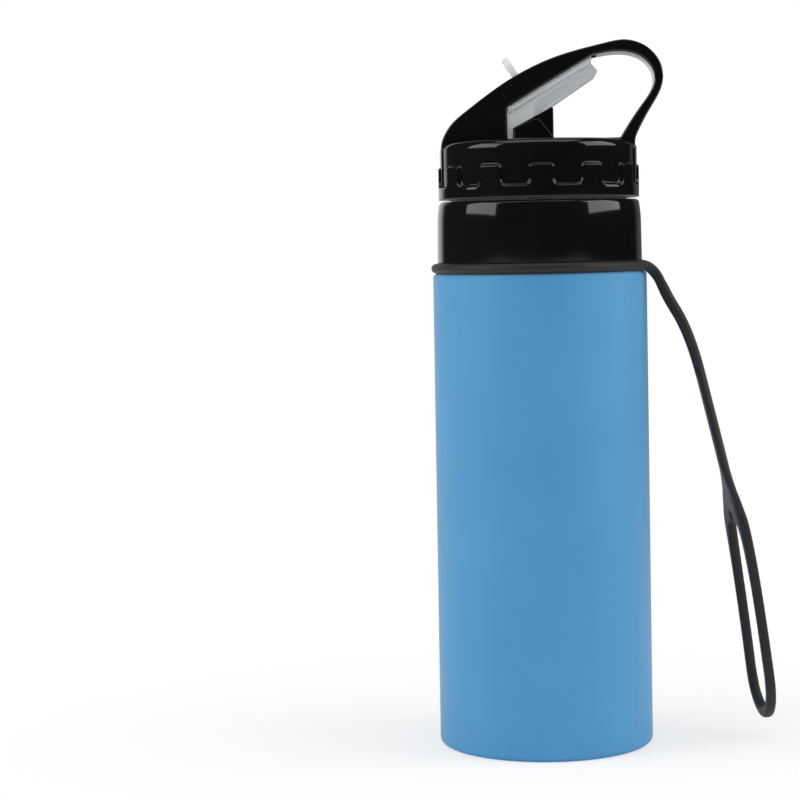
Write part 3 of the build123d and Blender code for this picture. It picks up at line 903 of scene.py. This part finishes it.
    def make(self) -> None:
        """Makes the skirt, the deck and the raised strip, and dresses the small soft parts."""
        skirt = shape("cap_skirt", self.skirt())
        smooth(skirt, 60)
        GLOSS_BLACK.dress(skirt, "cap")
        deck = self.deck_parts()
        smooth(deck, 40)
        GLOSS_BLACK.dress(deck, "cap")
        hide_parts("cap_shell")
        low, high = self.face - self.strip_drop, self.face + self.strip_rise
        start, end = self.pivot[0] + self.gap_front, self.radius - self.strip_end
        strip_outline = [(start, low), (start, high), (end, high), (end, low)]
        strip = shape("cap_strip", slab(strip_outline, self.half_strip, 0.2, 0.25))
        smooth(strip, 40)
        GLOSS_BLACK.dress(strip, "cap")
        for node in ("spout_seal", "vent_valve", "straw"):
            FROSTED_RUBBER.coat_node(node)


# ---- Handle --------------------------------------------------------------------------------
@dataclass
class Handle:
    """Slotted arch that rises from the tower at the back to the loop in front."""

    cap: Cap
    half_width: float = 8.0
    half_slot: float = 5.9
    edge: float = 0.6
    top_drop: float = 1.3
    tower_front: float = -9.8
    slot_back: float = -26.45
    slot_front: float = 19.5
    slot_rounding: float = 1.2

    def outline(self) -> np.ndarray:
        """Works out the side outline.

        Returns:
            Points in X and Z: the outer curve from the tower to the loop, the loop's foot, the
            inner curve back to the slot and the tower's front. The curves are splines.
        """
        d, r = self.cap.deck, self.cap.radius
        top = box("carry_handle")[1][2] - self.top_drop
        outer = spline([
            (-r + 0.25, d - 3.6), (-r + 0.4, d - 1.8), (-r + 1.2, d + 0.5), (-r + 3.2, d + 3.8),
            (-r + 8.7, d + 8.7), (-10.6, d + 17.5), (6.6, d + 25.7), (r - 9.7, top - 0.9),
            (r - 3.2, top), (r + 3.3, top - 2.1), (r + 8.3, top - 8.0), (r + 8.7, d + 16.2),
            (r + 4.6, d + 8.0), (r + 0.8, d + 1.0), (r - 0.2, d - 1.8), (r - 0.25, d - 3.6),
        ], 150)
        inner = spline([
            (r - 4.9, d - 0.8), (r + 1.8, d + 9.3), (r + 6.2, d + 18.0), (r + 3.6, top - 6.9),
            (r - 3.6, top - 3.9), (18.1, d + 25.7),
        ], 56)
        front = spline([(18.1, d + 25.7), (4.0, d + 17.6), (self.tower_front + 0.4, d + 9.7)], 24)[1:]
        tower = np.array([
            (self.tower_front, d + 9.0), (self.tower_front, d - 1.9), (-r + 4.2, d - 1.9),
            (-r + 2.0, d - 3.6),
        ])
        foot = np.array([(r - 2.0, d - 3.6), (r - 4.4, d - 1.9)])
        return np.vstack([outer, foot, inner, front, tower])

    def make(self) -> None:
        """Makes the handle as one plate with the spout's slot cut through it."""
        d = self.cap.deck
        base = slab(self.outline(), self.half_width, self.edge)
        back, front, half = self.slot_back, self.slot_front, self.half_slot
        slot = rounded([(back, -half), (front, -half), (front, half), (back, half)], self.slot_rounding, 5)
        count = len(slot)
        ends = [np.column_stack([slot, np.full(count, level)]) for level in (d - 8.0, d + 60.0)]
        first = np.arange(count)
        opening = Surface(np.vstack(ends), lattice(2, count, False, True), [first[::-1], first + count])
        piece = shape("handle", base, [(Operation.CUT, opening)])
        soften(piece, 0.35, 42)
        smooth(piece, 42)
        GLOSS_BLACK.dress(piece, "cap")
        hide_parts("carry_handle")


# ---- Spout ---------------------------------------------------------------------------------
@dataclass
class Spout:
    """Clear lever: hub, drinking tube, cover plate, thumb tab and pivot pins."""

    cap: Cap
    plate_angle: float = 30.0
    bore: float = 1.6
    hub_radius: float = 4.2
    heel_reach: float = 8.6
    half_block: float = 4.5
    half_cover: float = 5.6
    half_lip: float = 3.4
    half_cut: float = 6.0
    seam_depth: float = 3.6
    pin_radius: float = 1.7
    half_pins: float = 6.3
    tab_angle: float = 122.9
    tab_length: float = 14.5
    tab_width: float = 8.0
    tab_thickness: float = 2.2
    tab_edge: float = 0.7

    def slope(self, x: float, angle: float, offset: float) -> Point:
        """Point at x on the line that slopes at the angle and passes the pivot at the offset."""
        px, pz = self.cap.pivot
        return (x, pz + offset / cos(radians(angle)) + (x - px) * tan(radians(angle)))

    def make(self) -> None:
        """Joins the spout's plates, cuts the water's way and dresses the result."""
        x, z = self.cap.pivot
        a, b = self.plate_angle, self.cap.tube_slope
        heel = x - self.heel_reach
        block = [
            (x - 4.2, z), (x - 4.2, z + 0.5), (heel + 1.8, z + 0.5), (heel + 1.6, z - 3.0),
            (heel, z - 3.0), self.slope(heel, a, 9.1), self.slope(x + 18.4, a, 9.1),
            (x + 20.7, z + 18.6), self.slope(x + 19.45, b, 3.0), self.slope(x + 4.2, b, 3.0),
        ]
        block_radii = [0.0, 0.5, 0.4, 0.2, 0.3, 0.0, 0.4, 0.7, 0.5, 0.6]
        hub = arc((x, z), self.hub_radius, 0, -180, 34)[:-1]
        cover = [
            self.slope(heel, a, 8.8), (heel, z + 7.1), self.slope(heel + 2.0, a, 12.0),
            self.slope(x + 18.6, a, 12.0), self.slope(x + 18.6, a, 8.8),
        ]
        lip = [
            self.slope(x + 16.8, a, 10.6), self.slope(x + 16.8, a, 13.1), self.slope(x + 18.4, a, 13.1),
            self.slope(x + 18.8, a, 10.6),
        ]
        seam = [
            self.slope(heel + 0.8, a, 8.3), self.slope(heel + 0.8, a, 8.9),
            self.slope(x + 18.0, a, 8.9), self.slope(x + 18.0, a, 8.3),
        ]
        way = [
            (x + cos(radians(-55)), z + sin(radians(-55))),
            self.slope(x + 1.5, a, 5.9),
            self.slope(x + 22.7, a + 1.6, 5.9),
        ]
        low_bend, high_bend, mouth = [(across, 0, up) for across, up in way]
        steps = [
            (Operation.JOIN, slab(cover, self.half_cover, 0.45, [0.2, 0.8, 0.8, 0.5, 0.3])),
            (Operation.JOIN, slab(lip, self.half_lip, 0.3, 0.3)),
            (Operation.CUT, cutter(seam, -self.half_cut, -self.seam_depth)),
            (Operation.CUT, cutter(seam, self.seam_depth, self.half_cut)),
            (Operation.JOIN, self.tab()),
            (Operation.JOIN, rod((x, -self.half_pins, z), (x, self.half_pins, z), self.pin_radius)),
            (Operation.CUT, rod(low_bend, high_bend, self.bore)),
            (Operation.CUT, rod(high_bend, mouth, self.bore)),
        ]
        radii = block_radii + [0.0] * len(hub)
        base = slab(block + hub.tolist(), self.half_block, 0.35, radii)
        piece = shape("flip_spout", base, steps)
        soften(piece, 0.22, 40, 2)
        smooth(piece, 40)
        CLEAR_PLASTIC.dress(piece, "spout")
        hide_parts("spout")

    def tab(self) -> Surface:
        """Works out the thumb tab.

        Returns:
            A flat bar with a round end, that stands up through the handle's slot: a plate laid
            flat, turned by the tab's angle in the XZ plane and moved to its root.
        """
        x, z = self.cap.pivot
        half = self.tab_width / 2
        end = arc((self.tab_length - half, 0.0), half, -90, 90, 18)
        outline = np.vstack([[[-1.0, -half]], end, [[-1.0, half]]])
        bar = slab(outline, self.tab_thickness / 2, self.tab_edge)
        along, up = bar.points[:, 0], bar.points[:, 1]
        c, s = cos(radians(self.tab_angle)), sin(radians(self.tab_angle))
        points = np.column_stack([
            x - 1.75 + along * c - up * s, bar.points[:, 2], z + 11.1 + along * s + up * c
        ])
        return Surface(points, bar.faces, bar.caps)


# ---- Strap ---------------------------------------------------------------------------------
@dataclass
class Strap:
    """One silicone moulding: a ring in the groove, two arms, a band and a twisted end loop."""

    thickness: float = 3.3
    ring_cord: float = 3.2
    ring_drop: float = 0.2
    ring_slack: float = 0.2
    strand: float = 3.0
    loop_half: float = 9.6
    band_turn: float = -3.5
    loop_turn: float = 12.0
    turn_start: float = 93.0
    turn_height: float = 22.0
    arm_root: float = 30.0
    loop_foot: float = 22.0
    loop_bulge: float = 0.55
    strand_swell: float = 0.9
    arm_widths: tuple[Point, ...] = (
        (0.0, 3.2), (0.35, 3.9), (0.66, 4.4), (0.78, 6.0), (0.86, 7.2), (1.0, 8.0)
    )
    strand_places: tuple[Point, ...] = (
        (16.0, 9.1), (22.0, 10.2), (52.0, 9.6), (60.0, 9.1), (65.0, 8.7), (69.0, 8.1), (72.0, 7.3),
        (74.0, 6.4), (75.5, 5.1), (82.0, 4.3),
    )
    strand_widths: tuple[Point, ...] = (
        (16.0, 3.0), (52.0, 3.0), (60.0, 3.8), (65.0, 4.2), (69.0, 5.0), (72.0, 6.2), (74.0, 7.8),
        (75.5, 10.2), (82.0, 9.0),
    )
    band_widths: tuple[Point, ...] = (
        (76.5, 20.0), (79.0, 20.6), (86.0, 21.0), (116.0, 21.0), (121.0, 20.8), (126.0, 19.6),
        (131.0, 13.0),
    )
    blend_start: Place = (-0.5, 0.0, 1.0)
    blend_end: Place = (5.5, 0.0, -7.5)
    voxel: float = 0.42
    quick_voxel: float = 0.8

    @staticmethod
    def ring_height() -> float:
        """Height of the middle of the ring's solid."""
        low, high = box("strap_ring")
        return 0.5 * (low[2] + high[2])

    def line(self) -> np.ndarray:
        """Works out the middle line of the band.

        Returns:
            Points of a spline in X and Z, from the ring down to the loop's end.
        """
        side = box("silicone_body")[1][0] - Bottle.taper
        ring = self.ring_height()
        return spline([
            (side - 0.4, ring - 0.4), (side + 3.4, ring - 3.7), (side + 6.1, ring - 9.2),
            (side + 10.1, ring - 16.5), (side + 18.8, ring - 42.8), (side + 27.9, 75.2),
            (side + 33.8, 38.0), (side + 37.0, 12.0), (side + 37.5, 7.6),
        ], 160)

    def across(self, line: np.ndarray) -> np.ndarray:
        """Direction of the band's width at each point of the middle line.

        Args:
            line: Middle line.

        Returns:
            Y turned towards X by an angle that goes from the band's to the loop's, as a smooth
            step of the height.
        """
        low = np.clip((self.turn_start - line[:, 1]) / self.turn_height, 0.0, 1.0)
        share = low * low * (3 - 2 * low)
        turn = np.radians(self.band_turn + (self.loop_turn - self.band_turn) * share)
        return np.column_stack([-np.sin(turn), np.cos(turn), np.zeros(len(line))])

    def sides(self, half: np.ndarray, line: np.ndarray, sign: float) -> tuple[np.ndarray, np.ndarray]:
        """One strand beside the middle line.

        Args:
            half: Distance of the strand from the middle line, at each of its points.
            line: Middle line.
            sign: Which side of the band, plus or minus one.

        Returns:
            The strand's points and the direction of its width.
        """
        across = self.across(line)
        middle = np.column_stack([line[:, 0], np.zeros(len(line)), line[:, 1]])
        return middle + sign * half[:, None] * across, across

    def arm(self, line: np.ndarray, reach: float, ring_z: float, sign: float) -> Surface:
        """One arm, from its root on the ring down to the band.

        Args:
            line: Middle line of the band.
            reach: Radius of the ring's middle.
            ring_z: Height of the ring's middle.
            sign: Which side of the band, plus or minus one.

        Returns:
            A bar along a spline. Below the ring it follows the band's middle line in X, and it is
            moved in X by its Y times the sine of the band's turn.
        """
        start = radians(self.arm_root)
        root_x, root_y = reach * cos(start), reach * sin(start)
        path = spline([
            (root_x, sign * root_y, ring_z), (root_x + 1.9, sign * (root_y - 3.6), ring_z),
            (34.4, sign * 9.6, ring_z - 0.1), (37.0, sign * 8.6, ring_z - 1.9),
            (39.2, sign * 8.5, ring_z - 5.2), (41.6, sign * 8.6, ring_z - 10.2),
            (45.1, sign * 8.7, ring_z - 16.6), (49.4, sign * 7.5, ring_z - 26.0),
            (52.3, sign * 5.4, ring_z - 36.0),
        ], 60)
        follow = np.clip((ring_z - 6.0 - path[:, 2]) / 10.0, 0.0, 1.0)
        path[:, 0] += follow * (np.interp(-path[:, 2], -line[:, 1], line[:, 0]) - path[:, 0])
        lean = np.clip((ring_z - path[:, 2]) / 8.0, 0.0, 1.0)
        path[:, 0] -= path[:, 1] * lean * sin(radians(self.band_turn))
        flat = np.broadcast_to(self.across(path[:1, 1:]), path.shape)
        share = np.linspace(0.0, 1.0, len(path))
        thickness = np.interp(share, [0.0, 0.3], [self.ring_cord, self.thickness])
        return tube(path, flat, look_up(self.arm_widths, share), thickness)

    def strand_bar(self, line: np.ndarray, sign: float) -> Surface:
        """One long side of the loop: a bar beside the middle line that spreads into the band.

        Args:
            line: Middle line of the band.
            sign: Which side of the loop, plus or minus one.

        Returns:
            The bar, its distance from the line and its width read from tables by height.
        """
        height = line[:, 1]
        line = line[(height < self.strand_places[-1][0]) & (height > self.strand_places[0][0])]
        path, across = self.sides(look_up(self.strand_places, line[:, 1]), line, sign)
        width = look_up(self.strand_widths, line[:, 1])
        return tube(path, across, width, np.full(len(path), self.thickness))

    def surfaces(self) -> list[Surface]:
        """Works out the ring, the arms, the band and the loop.

        Returns:
            Overlapping closed bars, the ring first.
        """
        line = self.line()
        ring_z = self.ring_height() - self.ring_drop
        reach = box("strap_ring")[1][0] - self.ring_cord / 2 + self.ring_slack
        parts = [revolve(arc((reach, ring_z), self.ring_cord / 2, 0, 345, 24), 220)]
        for sign in (-1.0, 1.0):
            parts += [self.arm(line, reach, ring_z, sign), self.strand_bar(line, sign)]
        return parts + [self.band(line), self.loop_end(line)]

    def band(self, line: np.ndarray) -> Surface:
        """The broad middle between the two windows.

        Args:
            line: Middle line of the band.

        Returns:
            A flat bar along the line, whose width is read from a table by height.
        """
        height = line[:, 1]
        line = line[(height < self.band_widths[-1][0]) & (height > self.band_widths[0][0])]
        path = np.column_stack([line[:, 0], np.zeros(len(line)), line[:, 1]])
        width = look_up(self.band_widths, line[:, 1])
        return tube(path, self.across(line), width, np.full(len(path), self.thickness))

    def loop_end(self, line: np.ndarray) -> Surface:
        """The loop's round end.

        Args:
            line: Middle line of the band.

        Returns:
            A bar along half an ellipse about the foot of the middle line: its half-width times
            cosine a across and its drop times sine a down, with a strand that swells by sine a.
        """
        end = line[line[:, 1] < self.loop_foot][0]
        slope = unit(line[-1] - end)
        turn = radians(self.loop_turn)
        angle = np.linspace(-0.12, pi + 0.12, 40)
        across = np.array([-sin(turn), cos(turn), 0.0])
        down = np.array([slope[0], 0.0, slope[1]])
        strand = self.strand + self.strand_swell * np.clip(np.sin(angle), 0.0, 1.0)
        drop = end[1] - box("strap_band")[0][2] - strand.max() / 2
        path = (
            np.array([end[0], 0.0, end[1]])
            + (self.loop_half + self.loop_bulge) * np.cos(angle)[:, None] * across
            + drop * np.sin(angle)[:, None] * down
        )
        normal = np.cross(across, down)
        flat = np.cross(unit(np.gradient(path, axis=0)), normal)
        return tube(path, flat, strand, np.full(len(path), self.thickness))

    def make(self) -> None:
        """Merges the bars into one skin, evens it out and bakes its place into its mesh."""
        ring, *bars = self.surfaces()
        piece = shape("strap", sum(bars, ring))
        merge = piece.modifiers.new("merge", "REMESH")
        merge.mode = "VOXEL"
        merge.voxel_size = self.voxel * MM
        even_out = piece.modifiers.new("even", "SMOOTH")
        even_out.factor = 0.5
        even_out.iterations = 6
        apply_modifiers(piece)
        piece.data.shade_smooth()
        BLACK_SILICONE.dress(piece, "")
        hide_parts("strap_ring", "strap_band")
        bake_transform(piece)


# ---- Studio --------------------------------------------------------------------------------
@dataclass
class Studio:
    """White floor and surroundings, soft panels and the camera."""

    lens: float = 104.4
    distance: float = 764.6
    eye: float = 168.2
    pitch: float = 4.04
    yaw: float = 3.5
    roll: float = -1.1
    ambient: float = 0.43
    side_ambient: float = 0.80
    panel_power: float = 4.0
    panel_height: float = 0.675
    panel_distance: float = 0.8
    panel_length: float = 0.76
    panels: tuple[tuple[str, float, float], ...] = (("panel_left", -69.0, 0.58), ("panel_right", 80.5, 0.68))
    top_power: float = 2.5
    top_place: Place = (0.0, -0.10, 1.05)
    top_size: Point = (0.9, 0.6)
    top_target: Place = (0.0, 0.0, 0.12)
    behind_span: Point = (0.70, 0.86)
    behind_ends: Point = (0.03, 1.0)
    left_span: Point = (-0.15, 0.15)
    left_ends: Point = (1.0, 0.15)
    side_span: Point = (0.25, 0.95)
    floor_reach: float = 3.0
    floor_grey: float = 0.9
    shadow_span: Point = (0.03, 0.22)
    shadow_ends: Point = (0.6, 1.0)

    def camera(self) -> None:
        """Sets the camera in front of the bottle, a little above its middle."""
        data = bpy.data.cameras.new("camera")
        data.lens = self.lens
        data.clip_start = 0.05
        eye = bpy.data.objects.new("camera", data)
        turn = (
            Matrix.Rotation(radians(self.yaw), 4, "Z")
            @ Matrix.Rotation(radians(90 - self.pitch), 4, "X")
            @ Matrix.Rotation(radians(self.roll), 4, "Z")
        )
        eye.matrix_world = Matrix.Translation((0.0, -self.distance * MM, self.eye * MM)) @ turn
        bpy.context.scene.collection.objects.link(eye)
        bpy.context.scene.camera = eye

    @staticmethod
    def panel(name: str, place: Place, size: Point, power: float, target: Place) -> None:
        """A soft rectangular lamp.

        Args:
            name: Name of the lamp.
            place: Its middle in metres.
            size: Width and height in metres.
            power: Watts.
            target: Point that it faces.
        """
        data = bpy.data.lights.new(name, "AREA")
        data.shape = "RECTANGLE"
        data.size, data.size_y = size
        data.energy = power
        lamp = bpy.data.objects.new(name, data)
        lamp.location = place
        lamp.rotation_euler = (Vector(target) - Vector(place)).to_track_quat("-Z", "Y").to_euler()
        bpy.context.scene.collection.objects.link(lamp)

    @staticmethod
    def ramp(
        nodes: bpy.types.Nodes, links: bpy.types.NodeLinks, value: bpy.types.NodeSocket,
        span: Point, ends: Point,
    ) -> bpy.types.NodeSocket:
        """A smooth step of a value in a node tree.

        Args:
            nodes: The tree's nodes.
            links: The tree's links.
            value: Socket that holds the value.
            span: Where the step starts and ends.
            ends: The result before and after the step.

        Returns:
            Socket of the result.
        """
        step = nodes.new("ShaderNodeMapRange")
        step.interpolation_type = "SMOOTHSTEP"
        step.inputs["From Min"].default_value, step.inputs["From Max"].default_value = span
        step.inputs["To Min"].default_value, step.inputs["To Max"].default_value = ends
        links.new(value, step.inputs["Value"])
        return step.outputs["Result"]

    @staticmethod
    def calculation(
        nodes: bpy.types.Nodes, links: bpy.types.NodeLinks, operation: str, *values: bpy.types.NodeSocket
    ) -> bpy.types.NodeSocket:
        """A calculation in a node tree.

        Args:
            nodes: The tree's nodes.
            links: The tree's links.
            operation: Name of the operation.
            values: Sockets that hold its values.

        Returns:
            Socket of the result.
        """
        node = nodes.new("ShaderNodeMath")
        node.operation = operation
        for place, value in enumerate(values):
            links.new(value, node.inputs[place])
        return node.outputs["Value"]

    def seen(
        self, nodes: bpy.types.Nodes, links: bpy.types.NodeLinks, path: bpy.types.ShaderNodeLightPath
    ) -> bpy.types.NodeSocket:
        """Socket that is one for rays from the camera or through a clear piece, and else zero."""
        rays = path.outputs["Is Camera Ray"], path.outputs["Is Transmission Ray"]
        return self.calculation(nodes, links, "MAXIMUM", *rays)

    def surroundings(self) -> None:
        """White to the eye and behind the object, dim on the side that the object faces."""
        world = bpy.data.worlds.new("surroundings")
        bpy.context.scene.world = world
        world.use_nodes = True
        nodes, links = world.node_tree.nodes, world.node_tree.links
        ground = nodes["Background"]
        place = nodes.new("ShaderNodeTexCoord")
        split = nodes.new("ShaderNodeSeparateXYZ")
        links.new(place.outputs["Generated"], split.inputs["Vector"])
        behind = self.ramp(nodes, links, split.outputs["Y"], self.behind_span, self.behind_ends)
        left = self.ramp(nodes, links, split.outputs["X"], self.left_span, self.left_ends)
        dim = self.calculation(nodes, links, "MULTIPLY", behind, left)
        path = nodes.new("ShaderNodeLightPath")
        shine = nodes.new("ShaderNodeMix")
        shine.data_type = "FLOAT"
        breadth = self.calculation(nodes, links, "ABSOLUTE", split.outputs["X"])
        sides = self.ramp(nodes, links, breadth, self.side_span, (self.ambient, self.side_ambient))
        links.new(sides, shine.inputs[2])
        links.new(path.outputs["Is Glossy Ray"], shine.inputs[0])
        links.new(dim, shine.inputs[3])
        seen = self.seen(nodes, links, path)
        white = nodes.new("ShaderNodeMix")
        white.data_type = "FLOAT"
        white.inputs[3].default_value = 1.0
        links.new(seen, white.inputs[0])
        links.new(shine.outputs[0], white.inputs[2])
        links.new(white.outputs[0], ground.inputs["Strength"])
        ground.inputs["Color"].default_value = (1.0, 1.0, 1.0, 1.0)

    def floor(self) -> None:
        """A wide white floor that keeps a soft shadow under the bottle."""
        reach = self.floor_reach / MM
        corners = reach * np.array([(-1.0, -1.0, 0.0), (1.0, -1.0, 0.0), (1.0, 1.0, 0.0), (-1.0, 1.0, 0.0)])
        ground = shape("floor", Surface(corners, np.array([[0, 1, 2, 3]])))
        if ground.data.polygons[0].normal.z < 0:
            ground.data.flip_normals()
        paint = bpy.data.materials.new("white_floor")
        paint.use_nodes = True
        nodes, links = paint.node_tree.nodes, paint.node_tree.links
        out = nodes["Material Output"]
        matt = nodes.new("ShaderNodeBsdfDiffuse")
        matt.inputs["Color"].default_value = (*[self.floor_grey] * 3, 1.0)
        glow = nodes.new("ShaderNodeEmission")
        seen = self.seen(nodes, links, nodes.new("ShaderNodeLightPath"))
        place = nodes.new("ShaderNodeTexCoord")
        away = nodes.new("ShaderNodeVectorMath")
        away.operation = "LENGTH"
        links.new(place.outputs["Object"], away.inputs[0])
        far = self.ramp(nodes, links, away.outputs["Value"], self.shadow_span, self.shadow_ends)
        share = self.calculation(nodes, links, "MULTIPLY", seen, far)
        blend = nodes.new("ShaderNodeMixShader")
        links.new(share, blend.inputs["Fac"])
        links.new(matt.outputs["BSDF"], blend.inputs[1])
        links.new(glow.outputs["Emission"], blend.inputs[2])
        links.new(blend.outputs["Shader"], out.inputs["Surface"])
        ground.data.materials.append(paint)

    def make(self) -> None:
        """Makes the camera, the lamps, the surroundings and the floor."""
        bpy.context.scene.view_settings.view_transform = "Standard"
        self.camera()
        self.surroundings()
        self.floor()
        away, target = self.panel_distance, (0.0, 0.0, self.panel_height)
        for name, angle, width in self.panels:
            place = (away * sin(radians(angle)), -away * cos(radians(angle)), self.panel_height)
            power = self.panel_power * width / self.panels[0][2]
            self.panel(name, place, (width, self.panel_length), power, target)
        self.panel("panel_top", self.top_place, self.top_size, self.top_power, self.top_target)


def main() -> None:
    """Builds the studio and every sub-assembly in turn and reports each piece."""
    Studio().make()
    Bottle().make()
    cap = Cap()
    cap.make()
    Handle(cap).make()
    Spout(cap).make()
    Strap().make()


if __name__ == "__main__":
    logging.basicConfig(level=logging.INFO, format="%(name)s %(message)s", stream=sys.stdout)
    main()
